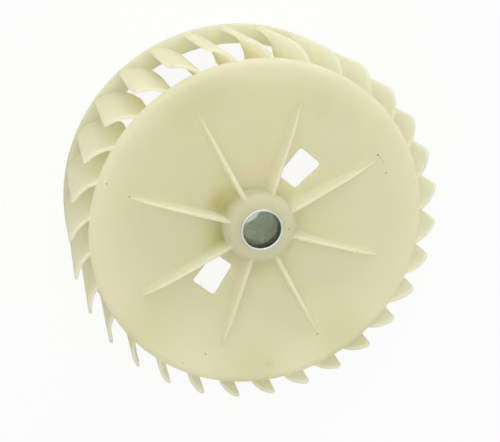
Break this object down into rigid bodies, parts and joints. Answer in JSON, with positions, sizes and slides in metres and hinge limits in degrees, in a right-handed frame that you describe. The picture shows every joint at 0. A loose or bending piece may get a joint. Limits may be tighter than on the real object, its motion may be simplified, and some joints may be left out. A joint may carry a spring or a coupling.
{
  "type": "blower wheel",
  "caption": "Squirrel-cage blower wheel: ribbed, dished backplate, curved blades all round joined by a flat inlet ring, and a metal bush for the shaft in the hub.",
  "frame": {"origin": "on the shaft axis, in the plane of the inlet ring's free face, which the wheel rests on", "axes": "+Z along the shaft axis from the inlet ring to the ribbed backplate; +X along the middle of one rib"},
  "size_m": [0.156, 0.156, 0.0519],
  "materials": {
    "moulded_plastic": "natural cream, slightly translucent, satin as moulded, with small dark specks",
    "bush_metal": "plain turned steel, dull in the bore and bright on the rim"
  },
  "bodies": {
    "root": {"blower_wheel": "moulded_plastic", "shaft_bush": "bush_metal"}
  },
  "joints": []
}
